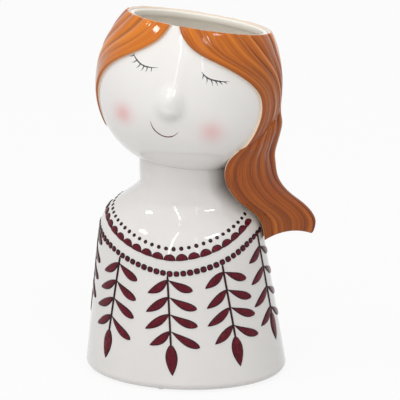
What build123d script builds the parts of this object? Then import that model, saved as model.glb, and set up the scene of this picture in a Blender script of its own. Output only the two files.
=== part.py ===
from build123d import *
import os
from math import cos, radians, sin, tan

# A head planter: a hollow glazed bust whose open head takes a plant.
# Millimetres, +Z up. The face looks along -Y, and the origin is the middle of the plane it stands on.

# Bust: a tapering oval drum, a rounded shoulder that dips in front, and a neck
base_width = 150.0
base_depth = 123.0
base_edge_radius = 5.0
shoulder_width = 119.6
shoulder_depth = 97.0
shoulder_height = 105.0
shoulder_dip = 15.0
neck_width = 64.4
neck_depth = 60.0
neck_root_height = 142.0
shoulder_round = 2.6
bust_lean = -3.6
neck_shift = -2.0
bust_wall = 6.0

# Underside: foot ring, floor, drain hole, plug and pads
pad_diameter = 8.0
pad_height = 1.2
pad_turn = -8.0
pad_count = 4
foot_ring_width = 12.0
foot_recess = 6.0
floor_thickness = 6.0
drain_diameter = 20.0
plug_clearance = 0.1
plug_flange_diameter = 30.0
plug_flange_thickness = 2.0
plug_stem_rise = 1.0
plug_tab_length = 14.0
plug_tab_width = 3.0
plug_tab_drop = 3.0

# Head: an oval ball on an axis that leans to the viewer's right, open at the top
head_width = 130.0
head_depth_ratio = 0.9
head_rise = 74.0
head_drop = 60.0
head_drop_power = 2.2
head_lean = 8.7
head_centre_x = 2.0
head_centre_height = 208.0
head_rim_above = 48.2
head_joint_below = 52.0
head_wall = 5.0
rim_opening_width = 92.0
rim_lip_height = 5.0

# Nose: a small ball sunk into the face
nose_width = 15.0
nose_length = 24.0
nose_stand_out = 4.5
nose_side = -2.5
nose_below = 3.0

# Hair: a layer on the head, and a long fall over the shoulder that flicks out
lute_gap = 0.15
hair_thickness = 3.0
hair_nape_below = 42.0
crease_front = 12.0
crease_slope = 14.0
left_hairline = [(-12, 48.2), (-17.5, 38), (-30, 28), (-46.8, 15.8), (-57, -1.5), (-55, -20), (-47.7, -34.8)]
right_hairline = [(-7, 48.2), (-2.5, 41.8), (10.4, 32.8), (28.8, 26.3), (45.7, 17.3), (55, 1), (53.5, -15)]
right_hairline += [(45.9, -30.9), (39.5, -39.5)]
fall_outer_edge = [(69.2, 184), (66.1, 158), (69, 141), (82.4, 127.4), (93, 115), (93.2, 101.6)]
fall_inner_edge = [(30.4, 184), (30, 165), (29, 145), (34.5, 130), (47.5, 114), (59, 97)]
fall_depth = 66.0
flick_depth = 16.0
fall_taper_power = 1.5
fall_steps = 10

# Raised pattern: thickness of the laid-on glaze, and each motif's size
relief = 0.7
dot_diameter = 2.8
dot_pitch = 5.4
scallop_width = 8.5
scallop_gap = 0.3
scallop_height = 4.0
bead_diameter = 4.2
bead_pitch = 4.8
dot_row_front = 101.6
dot_row_side = 130.5
dot_row_back = 130.0
scallop_row_front = 94.6
scallop_row_side = 125.0
scallop_row_back = 121.0
bead_row_front = 84.4
bead_row_side = 112.0
bead_row_back = 104.0
row_guides = 48
sprig_turns = [-160, -121.5, -83, -44, -2, 41.5, 80.5, 119.5, 158.5]
sprig_stem_length = 48.5
sprig_stem_width = 1.2
sprig_end_leaf_length = 22.0
sprig_end_leaf_width = 8.4
leaf_pairs = 4
leaf_pitch = 12.3
leaf_reach = 18.0
leaf_drop = 9.5
leaf_width = 6.0
first_leaf_below = 2.0
leaf_lift = 0.6

# Derived places
base_plane = pad_height
floor_under = base_plane + foot_recess
floor_top = floor_under + floor_thickness
head_axis = Vector(sin(radians(head_lean)), 0, cos(radians(head_lean)))
head_side = Vector(cos(radians(head_lean)), 0, -sin(radians(head_lean)))
head_centre = Vector(head_centre_x, 0, head_centre_height)
cut_reach = 400.0
oval_steps = 16
bust_steps = 28
head_steps = 10
neck_rise = neck_width / 4
opening_margin = 10.0
normal_step = 0.5


def head_plane(above):
    """The plane square to the head's axis, the given distance above the head's centre."""
    return Plane(origin=head_centre + head_axis * above, x_dir=head_side, z_dir=head_axis)


def shoulder_keep(height):
    """What is left of the shoulder's overhang at a height: all of it at the shoulder, none at the neck."""
    share = (height - shoulder_height) / (neck_root_height - shoulder_height)
    share = min(1.0, max(0.0, share))
    return (1 - share ** shoulder_round) ** 2


def bust_half_width(height):
    """Half of the bust's width at a height: a straight taper, a round shoulder, then the neck."""
    if height <= shoulder_height:
        share = (height - base_plane) / (shoulder_height - base_plane)
        return (base_width + (shoulder_width - base_width) * share) / 2
    return (neck_width + (shoulder_width - neck_width) * shoulder_keep(height)) / 2


def bust_shift(height):
    """How far the bust's centre line stands to the side at a height."""
    if height <= shoulder_height:
        return bust_lean * (height - base_plane) / (shoulder_height - base_plane)
    return neck_shift + (bust_lean - neck_shift) * shoulder_keep(height)


def bust_oval(height):
    """The bust's level oval at a height: its centre's x and y, half its width and half its depth.

    The shoulder rounds off lower in front than behind, by the dip.
    """
    dip_rise = shoulder_depth / 2 * tan(radians(shoulder_dip))
    overhang = (shoulder_depth - neck_depth) / 2
    drum_share = (min(height, shoulder_height + dip_rise) - base_plane) / (shoulder_height - base_plane)
    drum_half = (base_depth + (shoulder_depth - base_depth) * drum_share) / 2
    front = drum_half - overhang * (1 - shoulder_keep(height + dip_rise))
    back = drum_half - overhang * (1 - shoulder_keep(height - dip_rise))
    half_width = bust_half_width(height)
    return bust_shift(height), (back - front) / 2, half_width, (front + back) / 2


def bust_ovals(grow):
    """Evenly spaced level ovals up the bust, each grown outwards."""
    neck_top = head_centre_height - head_joint_below + neck_rise
    ovals = []
    for step in range(bust_steps + 1):
        height = base_plane + (neck_top - base_plane) * step / bust_steps
        shift, set_back, half_width, half_depth = bust_oval(height)
        ovals.append((Plane(origin=(shift, set_back, height)), half_width + grow, half_depth + grow))
    return ovals


def head_half_width(above):
    """Half the head's width at a height above its centre."""
    if above >= 0:
        return head_width / 2 * (1 - (above / head_rise) ** 2) ** 0.5
    return head_width / 2 * (1 - (-above / head_drop) ** head_drop_power) ** 0.5


def head_ovals(grow, low, high, steps):
    """Ovals up the head between two heights on its axis, each grown outwards."""
    ovals = []
    for step in range(steps + 1):
        above = low + (high - low) * step / steps
        half_width = head_half_width(above)
        half_depth = half_width * head_depth_ratio
        ovals.append((head_plane(above), half_width + grow, half_depth + grow))
    return ovals


def oval_points(half_width, half_depth):
    """Points around an oval, from its +X end, so that every oval of a stack starts on the same side."""
    angles = [radians(360 / oval_steps * step) for step in range(oval_steps)]
    return [(half_width * cos(angle), half_depth * sin(angle)) for angle in angles]


def oval_loft(ovals):
    """A smooth solid through a stack of ovals."""
    with BuildPart() as body:
        for plane, half_width, half_depth in ovals:
            with BuildSketch(plane):
                with BuildLine():
                    Spline(*oval_points(half_width, half_depth), periodic=True)
                make_face()
        loft()
    return body.part


# Solid forms that several pieces are cut from
bust_form = oval_loft(bust_ovals(0))
bust_clear_form = oval_loft(bust_ovals(lute_gap))
bust_cavity_form = oval_loft(bust_ovals(-bust_wall))
head_form = oval_loft(head_ovals(0, -head_joint_below, head_rim_above, head_steps))
head_clear_form = oval_loft(head_ovals(lute_gap, -head_joint_below, head_rim_above, head_steps))
lip_foot = head_rim_above - rim_lip_height
head_cavity_form = oval_loft(head_ovals(-head_wall, -head_joint_below, lip_foot, head_steps))
hair_grow = lute_gap + hair_thickness
hair_form = oval_loft(head_ovals(hair_grow, -head_joint_below, head_rim_above, head_steps))
hair_clear_form = oval_loft(head_ovals(hair_grow + lute_gap, -head_joint_below, head_rim_above, head_steps))

# Bust shell: neck cut square to the head's axis, hollow, with a foot ring and a drain hole
with BuildPart() as torso_shell:
    add(bust_form)
    fillet(torso_shell.edges().sort_by(Axis.Z)[0], base_edge_radius)
    add(bust_cavity_form.split(Plane.XY.offset(floor_top)), mode=Mode.SUBTRACT)
    split(bisect_by=head_plane(-head_joint_below), keep=Keep.BOTTOM)
    recess_width = base_width - 2 * (base_edge_radius + foot_ring_width)
    recess_depth = base_depth - 2 * (base_edge_radius + foot_ring_width)
    with BuildSketch(Plane.XY.offset(base_plane)):
        Ellipse(recess_width / 2, recess_depth / 2)
    extrude(amount=foot_recess, mode=Mode.SUBTRACT)
    with BuildSketch(Plane.XY.offset(floor_under)):
        Circle(drain_diameter / 2)
    extrude(amount=floor_thickness, mode=Mode.SUBTRACT)
torso_shell.part.label = "torso_shell"

# Head shell: hollow through to the neck, with a narrower lip around the mouth and a small nose
face_front = head_half_width(-nose_below) * head_depth_ratio
nose_centre = head_centre - head_axis * nose_below + head_side * nose_side
nose_centre -= Vector(0, face_front + nose_stand_out - nose_width / 2, 0)
nose_plane = Plane(origin=nose_centre, x_dir=head_side, z_dir=(0, -1, 0))
with BuildPart() as head_shell:
    add(head_form)
    with BuildSketch(nose_plane):
        Ellipse(nose_width / 2, nose_length / 2)
        split(bisect_by=Plane.YZ)
    revolve(axis=Axis(nose_centre, head_axis))
    add(head_cavity_form, mode=Mode.SUBTRACT)
    with BuildSketch(head_plane(head_rim_above)):
        Ellipse(rim_opening_width / 2, rim_opening_width / 2 * head_depth_ratio)
    extrude(amount=-rim_lip_height, mode=Mode.SUBTRACT)
head_shell.part.label = "head_shell"

# Hair layer: the head's form grown outwards, open over the face and ending at the nape
face_plane = Plane(origin=head_centre, x_dir=head_side, z_dir=(0, -1, 0))
opening_top = head_rim_above + opening_margin
opening_bottom = -head_joint_below - opening_margin
with BuildPart() as hair_layer:
    add(hair_form)
    add(head_clear_form, mode=Mode.SUBTRACT)
    split(bisect_by=head_plane(-hair_nape_below), keep=Keep.TOP)
    with BuildSketch(face_plane):
        with BuildLine():
            Spline(*left_hairline)
            Polyline(left_hairline[-1], (left_hairline[-1][0], opening_bottom),
                     (right_hairline[-1][0], opening_bottom), right_hairline[-1])
            Spline(*right_hairline)
            Polyline(right_hairline[0], (right_hairline[0][0], opening_top),
                     (left_hairline[0][0], opening_top), left_hairline[0])
        make_face()
    extrude(amount=cut_reach, mode=Mode.SUBTRACT)

# The layer comes apart at the parting and at the crease behind the front locks
crease_normal = Vector(0, 1, 0) + head_axis * tan(radians(crease_slope))
crease_plane = Plane(origin=head_centre - Vector(0, crease_front, 0), x_dir=head_side, z_dir=crease_normal)
front_locks = split(hair_layer.part, bisect_by=crease_plane, keep=Keep.BOTTOM).solids().sort_by(Axis.X)
with BuildPart() as left_hair_lock:
    add(front_locks[0])
left_hair_lock.part.label = "left_hair_lock"
with BuildPart() as right_hair_sweep:
    add(front_locks[-1])
right_hair_sweep.part.label = "right_hair_sweep"
with BuildPart() as back_hair:
    add(split(hair_layer.part, bisect_by=crease_plane, keep=Keep.TOP))
back_hair.part.label = "back_hair"


def fall_ovals(grow):
    """Ovals down the hair that falls over the shoulder, spanning its inner and outer edges."""
    outer_edge = Spline(*[(x, 0, z) for x, z in fall_outer_edge])
    inner_edge = Spline(*[(x, 0, z) for x, z in fall_inner_edge])
    ovals = []
    for step in range(fall_steps + 1):
        share = step / fall_steps
        across = (outer_edge @ share) - (inner_edge @ share)
        middle = (outer_edge @ share) - across / 2
        half_depth = (fall_depth + (flick_depth - fall_depth) * share ** fall_taper_power) / 2
        plane = Plane(origin=middle, x_dir=across, z_dir=across.cross(Vector(0, 1, 0)))
        ovals.append((plane, across.length / 2 + grow, half_depth + grow))
    return ovals


# Hair fall: it lies against the head's hair, the neck and the shoulder, in a front and a back layer
fall_clear_form = oval_loft(fall_ovals(lute_gap))
with BuildPart() as hair_fall:
    add(oval_loft(fall_ovals(0)))
    add(hair_clear_form, mode=Mode.SUBTRACT)
    add(bust_clear_form, mode=Mode.SUBTRACT)
fall_body = hair_fall.part.solids().sort_by(SortBy.VOLUME)[-1]
with BuildPart() as side_fall:
    add(split(fall_body, bisect_by=crease_plane, keep=Keep.BOTTOM))
side_fall.part.label = "side_fall"
with BuildPart() as side_fall_back:
    add(split(fall_body, bisect_by=crease_plane, keep=Keep.TOP))
side_fall_back.part.label = "side_fall_back"

# The room that the hair takes on the bust, which the raised pattern leaves bare
hair_room = oval_loft(fall_ovals(bead_diameter))


def row_height(front, side, back, turn):
    """A pattern row's height at a turn from the front: it dips at the front and rises behind."""
    lift = front - side if cos(radians(turn)) > 0 else side - back
    return side + lift * cos(radians(turn))


def bust_point(turn, height):
    """The point of the bust's surface at a turn from the front and a height."""
    shift, set_back, half_width, half_depth = bust_oval(height)
    across = sin(radians(turn))
    forward = cos(radians(turn))
    reach = 1 / ((across / half_width) ** 2 + (forward / half_depth) ** 2) ** 0.5
    return Vector(shift + reach * across, set_back - reach * forward, height)


def bust_normal(point):
    """The way out of the bust at a point of its surface, from the ovals at, below and above it."""
    def spread(height):
        shift, set_back, half_width, half_depth = bust_oval(height)
        return ((point.X - shift) / half_width) ** 2 + ((point.Y - set_back) / half_depth) ** 2

    shift, set_back, half_width, half_depth = bust_oval(point.Z)
    rise = (spread(point.Z + normal_step) - spread(point.Z - normal_step)) / (2 * normal_step)
    out_x = 2 * (point.X - shift) / half_width ** 2
    out_y = 2 * (point.Y - set_back) / half_depth ** 2
    return Vector(out_x, out_y, rise).normalized()


def glaze_plane(point, along):
    """A plane just clear of the bust at a point of it, with its X the given way along the surface."""
    outwards = bust_normal(point)
    side_way = outwards.cross(along).cross(outwards)
    return Plane(origin=point + outwards * lute_gap, x_dir=side_way, z_dir=outwards)


def row_planes(front, side, back, pitch):
    """Evenly spaced planes along a pattern row, leaving out those that the hair covers."""
    turns = [360 / row_guides * step for step in range(row_guides)]
    guide = Spline(*[bust_point(turn, row_height(front, side, back, turn)) for turn in turns], periodic=True)
    count = round(guide.length / pitch)
    shares = [(step + 0.5) / count for step in range(count)]
    bare_shares = [share for share in shares if not hair_room.is_inside(guide @ share)]
    return [glaze_plane(guide @ share, guide % share) for share in bare_shares]


# Neckline dots, scallops and beads: three rows of raised glaze around the neck
with BuildPart() as neckline_dots:
    with BuildSketch(*row_planes(dot_row_front, dot_row_side, dot_row_back, dot_pitch)):
        Circle(dot_diameter / 2)
    extrude(amount=relief)
neckline_dots.part.label = "neckline_dots"

with BuildPart() as scallop_trim:
    half_scallop = (scallop_width - scallop_gap) / 2
    with BuildSketch(*row_planes(scallop_row_front, scallop_row_side, scallop_row_back, scallop_width)):
        with BuildLine():
            ThreePointArc((-half_scallop, 0), (0, scallop_height), (half_scallop, 0))
            Line((half_scallop, 0), (-half_scallop, 0))
        make_face()
    extrude(amount=relief)
scallop_trim.part.label = "scallop_trim"

with BuildPart() as bead_row:
    with BuildSketch(*row_planes(bead_row_front, bead_row_side, bead_row_back, bead_pitch)):
        Circle(bead_diameter / 2)
    extrude(amount=relief)
bead_row.part.label = "bead_row"


def leaf_outline(root, tip, width):
    """The two arcs of a pointed leaf between two points."""
    middle = (Vector(root) + Vector(tip)) / 2
    bulge = (Vector(tip) - Vector(root)).normalized().rotate(Axis.Z, 90) * width / 2
    with BuildLine() as outline:
        ThreePointArc(root, middle + bulge, tip)
        ThreePointArc(tip, middle - bulge, root)
    return outline.edges()


def bust_curve(turn, height):
    """The radius of the bust's level curve at a turn from the front and a height."""
    shift, set_back, half_width, half_depth = bust_oval(height)
    across = sin(radians(turn)) / half_width
    forward = cos(radians(turn)) / half_depth
    spread = (half_width * forward) ** 2 + (half_depth * across) ** 2
    return (spread / (across ** 2 + forward ** 2)) ** 1.5 / (half_width * half_depth)


# Leaf sprigs: a stem that hangs below the beads, pairs of drooping leaves and one leaf at its end,
# bent around the bust by keeping what lies in a thin round strip along the stem
leaf_sprigs = []
half_stem = sprig_stem_length / 2
strip_length = sprig_stem_length + 2 * sprig_end_leaf_length
for number, turn in enumerate(sprig_turns):
    top_height = row_height(bead_row_front, bead_row_side, bead_row_back, turn) - bead_diameter / 2
    middle = bust_point(turn, top_height - half_stem)
    hang = glaze_plane(middle, Vector(cos(radians(turn)), sin(radians(turn)), 0))
    curve = bust_curve(turn, top_height - half_stem)
    strip = Plane(origin=hang.origin - hang.z_dir * curve, x_dir=hang.x_dir, z_dir=hang.y_dir)
    with BuildPart() as leaf_sprig:
        with BuildSketch(strip):
            Circle(curve + leaf_lift + relief)
            Circle(curve + leaf_lift, mode=Mode.SUBTRACT)
        extrude(amount=strip_length / 2, both=True)
        with BuildSketch(hang):
            Rectangle(sprig_stem_width, sprig_stem_length)
            end_tip = (0, -half_stem - sprig_end_leaf_length)
            make_face(leaf_outline((0, sprig_stem_width - half_stem), end_tip, sprig_end_leaf_width))
            for pair in range(leaf_pairs):
                root = half_stem - first_leaf_below - leaf_pitch * pair
                for side in (-1, 1):
                    make_face(leaf_outline((0, root), (side * leaf_reach, root - leaf_drop), leaf_width))
        extrude(amount=leaf_reach / 2, both=True, mode=Mode.INTERSECT)
        add(fall_clear_form, mode=Mode.SUBTRACT)
    leaf_sprig.part.label = f"leaf_sprig_{number + 1}"
    leaf_sprigs.append(leaf_sprig)

# Drain plug: a soft stem in the drain hole, a flange under the floor and a tab to pull it by
flange_top = floor_under - plug_clearance
flange_bottom = flange_top - plug_flange_thickness
with BuildPart() as drain_plug:
    with BuildSketch(Plane.XY.offset(flange_bottom)):
        Circle(plug_flange_diameter / 2)
    extrude(amount=plug_flange_thickness)
    with BuildSketch(Plane.XY.offset(flange_top)):
        Circle(drain_diameter / 2 - plug_clearance)
    extrude(amount=floor_top + plug_stem_rise - flange_top)
    with BuildSketch(Plane.XY.offset(flange_bottom)):
        SlotOverall(plug_tab_length, plug_tab_width)
    extrude(amount=-plug_tab_drop)
drain_plug.part.label = "drain_plug"

# Foot pads: thin discs stuck around the foot ring
pad_inset = base_edge_radius + foot_ring_width / 2
pad_reach_x = base_width / 2 - pad_inset
pad_reach_y = base_depth / 2 - pad_inset
with BuildPart() as foot_pads:
    with BuildSketch(Plane.XY):
        for number in range(pad_count):
            turn = radians(pad_turn + 360 / pad_count * number)
            with Locations((pad_reach_x * sin(turn), -pad_reach_y * cos(turn))):
                Circle(pad_diameter / 2)
    extrude(amount=pad_height)
foot_pads.part.label = "foot_pads"

pieces = [torso_shell, head_shell, left_hair_lock, right_hair_sweep, back_hair, side_fall, side_fall_back]
pieces += [neckline_dots, scallop_trim, bead_row, *leaf_sprigs, drain_plug, foot_pads]
os.makedirs("parts", exist_ok=True)
for piece in pieces:
    export_step(piece.part, f"parts/{piece.part.label}.step")
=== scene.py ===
import math
import bmesh
import bpy
import numpy as np
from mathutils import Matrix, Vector


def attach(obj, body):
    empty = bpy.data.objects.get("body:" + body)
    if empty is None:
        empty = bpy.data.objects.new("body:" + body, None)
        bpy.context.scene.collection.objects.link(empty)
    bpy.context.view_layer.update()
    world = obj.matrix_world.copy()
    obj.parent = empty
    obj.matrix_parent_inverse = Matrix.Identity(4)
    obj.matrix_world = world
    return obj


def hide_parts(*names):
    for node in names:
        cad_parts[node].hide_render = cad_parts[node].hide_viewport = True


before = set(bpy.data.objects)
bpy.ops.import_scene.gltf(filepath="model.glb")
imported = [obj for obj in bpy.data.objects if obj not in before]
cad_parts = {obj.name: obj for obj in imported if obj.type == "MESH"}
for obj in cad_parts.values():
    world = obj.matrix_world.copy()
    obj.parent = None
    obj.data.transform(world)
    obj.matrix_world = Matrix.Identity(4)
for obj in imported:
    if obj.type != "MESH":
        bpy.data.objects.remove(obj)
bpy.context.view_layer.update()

# Sizes of the part in millimetres, the same as the solids
MM = 0.001
base_plane = 1.2
base_width = 150.0
base_depth = 123.0
base_edge_radius = 5.0
shoulder_width = 119.6
shoulder_depth = 97.0
shoulder_height = 105.0
shoulder_dip = 15.0
shoulder_round = 2.6
neck_width = 64.4
neck_depth = 60.0
neck_root_height = 142.0
neck_top_height = 146.0
bust_lean = -3.6
neck_shift = -2.0
bust_wall = 6.0
foot_ring_width = 12.0
floor_under = 7.2
floor_top = 13.2
drain_radius = 10.0
head_width = 130.0
head_depth_ratio = 0.9
head_rise = 74.0
head_drop = 60.0
head_drop_power = 2.2
head_lean = math.radians(8.7)
head_centre = np.array([2.0, 0.0, 208.0])
head_rim_above = 48.2
head_joint_below = 52.0
head_wall = 5.0
rim_opening_half = 46.0
rim_lip_height = 5.0
rim_round = 1.3
head_axis = np.array([math.sin(head_lean), 0.0, math.cos(head_lean)])
head_side = np.array([math.cos(head_lean), 0.0, -math.sin(head_lean)])
world_back = np.array([0.0, 1.0, 0.0])
random = np.random.default_rng(7)


# Shares, bells and lengths
def grown(value, start, end):
    """Share from 0 at the start to 1 at the end, and level outside them."""
    return np.clip((value - start) / (end - start), 0.0, 1.0)


def bell(value, middle, spread):
    return np.exp(-((value - middle) / spread) ** 2)


def run_lengths(points, axis=0):
    """Lengths along the rows or columns of points, from 0."""
    steps = np.linalg.norm(np.diff(points, axis=axis), axis=-1)
    return np.insert(np.cumsum(steps, axis=axis), 0, 0.0, axis=axis)


# The bust's skin as level ovals
def shoulder_keep(height):
    return (1 - grown(height, shoulder_height, neck_root_height) ** shoulder_round) ** 2


def bust_oval(height):
    """Centre x, centre y, half width and half depth of the bust at a height."""
    height = np.asarray(height, float)
    share = (height - base_plane) / (shoulder_height - base_plane)
    keep = shoulder_keep(height)
    low = height <= shoulder_height
    drum_width = base_width + (shoulder_width - base_width) * share
    half_width = np.where(low, drum_width, neck_width + (shoulder_width - neck_width) * keep) / 2
    shift = np.where(low, bust_lean * share, neck_shift + (bust_lean - neck_shift) * keep)
    dip_rise = shoulder_depth / 2 * math.tan(math.radians(shoulder_dip))
    overhang = (shoulder_depth - neck_depth) / 2
    drum_top = shoulder_height + dip_rise
    drum_share = (np.minimum(height, drum_top) - base_plane) / (shoulder_height - base_plane)
    drum_half = (base_depth + (shoulder_depth - base_depth) * drum_share) / 2
    front = drum_half - overhang * (1 - shoulder_keep(height + dip_rise))
    back = drum_half - overhang * (1 - shoulder_keep(height - dip_rise))
    return shift, (back - front) / 2, half_width, (front + back) / 2


def bust_point(turn, height):
    """The point of the bust's skin at a turn in degrees from the front and a height."""
    shift, set_back, half_width, half_depth = bust_oval(height)
    across = np.sin(np.radians(turn))
    forward = np.cos(np.radians(turn))
    reach = 1 / np.sqrt((across / half_width) ** 2 + (forward / half_depth) ** 2)
    height = np.broadcast_to(np.asarray(height, float), np.shape(reach))
    return np.stack([shift + reach * across, set_back - reach * forward, height], axis=-1)


def unit(vectors):
    return vectors / np.linalg.norm(vectors, axis=-1, keepdims=True)


def bust_frame(turn, height):
    """Lengths on the skin of one degree of turn and 1 mm of height, and the unit vector out of it."""
    step = 0.25
    along = (bust_point(turn + step, height) - bust_point(turn - step, height)) / (2 * step)
    upward = (bust_point(turn, height + step) - bust_point(turn, height - step)) / (2 * step)
    degree = np.linalg.norm(along, axis=-1)
    rise = np.linalg.norm(upward, axis=-1)
    return degree, rise, unit(np.cross(along, upward))


def on_bust(turn, height, right, up, lift):
    """Points laid on the skin, right and up of an anchor in millimetres, lifted off along its normal."""
    _, rise, _ = bust_frame(turn, height)
    at_height = height + up / rise
    at_turn = turn
    for _ in range(2):
        degree, _, _ = bust_frame((turn + at_turn) / 2, at_height)
        at_turn = turn + right / degree
    _, _, normal = bust_frame(at_turn, at_height)
    return bust_point(at_turn, at_height) + normal * np.asarray(lift)[..., None]


# The head's skin in its own leaning frame
def head_half_width(above):
    least_square = 1e-6
    above = np.asarray(above, float)
    upper = 1 - np.clip(above / head_rise, 0, 1) ** 2
    lower = 1 - np.clip(-above / head_drop, 0, 1) ** head_drop_power
    return head_width / 2 * np.sqrt(np.maximum(np.where(above >= 0, upper, lower), least_square))


def from_head(side, back, above):
    """World points of points in the head's frame."""
    shares = zip((side, back, above), (head_side, world_back, head_axis))
    return head_centre + sum(np.multiply.outer(length, way) for length, way in shares)


def to_head(points):
    local = points - head_centre
    return local @ head_side, local[..., 1], local @ head_axis


def nose_lift(side, above):
    """How far the nose stands out of the face: a round tip, and a low ridge up to the brow."""
    tip_side, tip_above, tip_out, tip_power = -2.6, -5.0, 6.2, 1.75
    spread_up, spread_down, spread_side = 12.0, 8.0, 8.2
    ridge_top, ridge_out, ridge_width, ridge_fade = 40.0, 1.7, 5.5, 8.0
    rise = above - tip_above
    tall = np.where(rise > 0, rise / spread_up, rise / spread_down)
    away = ((side - tip_side) / spread_side) ** 2 + tall ** 2
    tip = tip_out * np.exp(-away ** tip_power)
    share = np.clip((ridge_top - above) / (ridge_top - tip_above), 0, 1)
    ridge = ridge_out * np.sin(math.pi / 2 * share) * np.clip(rise / ridge_fade, 0, 1)
    return tip + ridge * bell(side, tip_side * share, ridge_width)


def face_point(side, above, lift):
    """World point on the front of the face, lifted off it."""
    half_width = head_half_width(above)
    depth = head_depth_ratio * half_width * np.sqrt(np.maximum(1 - (side / half_width) ** 2, 0.0))
    return from_head(side, -depth - nose_lift(side, above) - lift, above)


def on_head(*places):
    """World points on the head's skin at turns in degrees from the front and heights in its frame."""
    turns, above = np.transpose(places)
    half_width = head_half_width(above)
    angle = np.radians(turns)
    return from_head(half_width * np.sin(angle), -head_depth_ratio * half_width * np.cos(angle), above)


def by_side(*places):
    """World points on the head's front at side offsets and heights in its frame."""
    side, above = np.transpose(places)
    turns = np.degrees(np.arcsin(np.clip(side / head_half_width(above), -1, 1)))
    return on_head(*zip(turns, above))


# Meshes from grids of points
def grid_faces(rows, columns, around=False, closed=False):
    """Squares between the points of a grid, which may close across and down."""
    index = np.arange(rows * columns).reshape(rows, columns)
    if closed:
        index = np.concatenate([index, index[:1]])
    if around:
        index = np.concatenate([index, index[:, :1]], axis=1)
    corners = [index[:-1, :-1], index[:-1, 1:], index[1:, 1:], index[1:, :-1]]
    return np.stack(corners, axis=-1).reshape(-1, 4)


def piece(name, parts, materials, body="planter", replaced=()):
    """One mesh from parts, each of points, faces, and arrays of tone, uv and finish number."""
    points, faces, tones, coordinates, finishes = [], [], [], [], []
    start = 0
    for part in parts:
        flat = part["points"].reshape(-1, 3)
        points.append(flat)
        faces.append(part["faces"] + start)
        tones.append(np.broadcast_to(np.ravel(part.get("tone", 0.0)), len(flat)))
        coordinates.append(np.broadcast_to(part.get("uv", (0.0, 0.0)), (len(flat), 2)))
        finishes.append(np.broadcast_to(part.get("finish", 0), len(part["faces"])))
        start += len(flat)
    all_faces = np.concatenate(faces)
    mesh = bpy.data.meshes.new(name)
    mesh.from_pydata((np.concatenate(points) * MM).tolist(), [], all_faces.tolist())
    mesh.polygons.foreach_set("material_index", np.concatenate(finishes).astype(np.int32))
    mesh.polygons.foreach_set("use_smooth", np.ones(len(all_faces), bool))
    tone = mesh.attributes.new("tone", "FLOAT", "POINT")
    tone.data.foreach_set("value", np.concatenate(tones).astype(np.float32))
    layer = mesh.uv_layers.new(name="strand")
    loop_points = all_faces.reshape(-1)
    layer.data.foreach_set("uv", np.concatenate(coordinates)[loop_points].astype(np.float32).ravel())
    work = bmesh.new()
    work.from_mesh(mesh)
    bmesh.ops.recalc_face_normals(work, faces=work.faces)
    work.to_mesh(mesh)
    work.free()
    for material in materials:
        mesh.materials.append(material)
    made = bpy.data.objects.new(name, mesh)
    bpy.context.collection.objects.link(made)
    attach(made, body)
    if replaced:
        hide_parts(*replaced)


def spline(knots, values, at):
    """A natural cubic curve through values at the knots."""
    knots, values, at = (np.asarray(numbers, float) for numbers in (knots, values, at))
    gaps = np.diff(knots)
    slopes = np.diff(values, axis=0) / gaps[:, None]
    system = np.eye(len(knots))
    target = np.zeros_like(values)
    for i in range(1, len(gaps)):
        system[i, i - 1:i + 2] = gaps[i - 1], 2 * (gaps[i - 1] + gaps[i]), gaps[i]
        target[i] = 6 * (slopes[i] - slopes[i - 1])
    bends = np.linalg.solve(system, target)
    span = np.clip(np.searchsorted(knots, at) - 1, 0, len(gaps) - 1)
    gap = gaps[span][:, None]
    curve = 0.0
    for end, other in ((span, span + 1), (span + 1, span)):
        reach = np.abs(knots[other] - at)[:, None]
        curve += bends[end] * reach ** 3 / (6 * gap) + (values[end] / gap - bends[end] * gap / 6) * reach
    return curve


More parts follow.
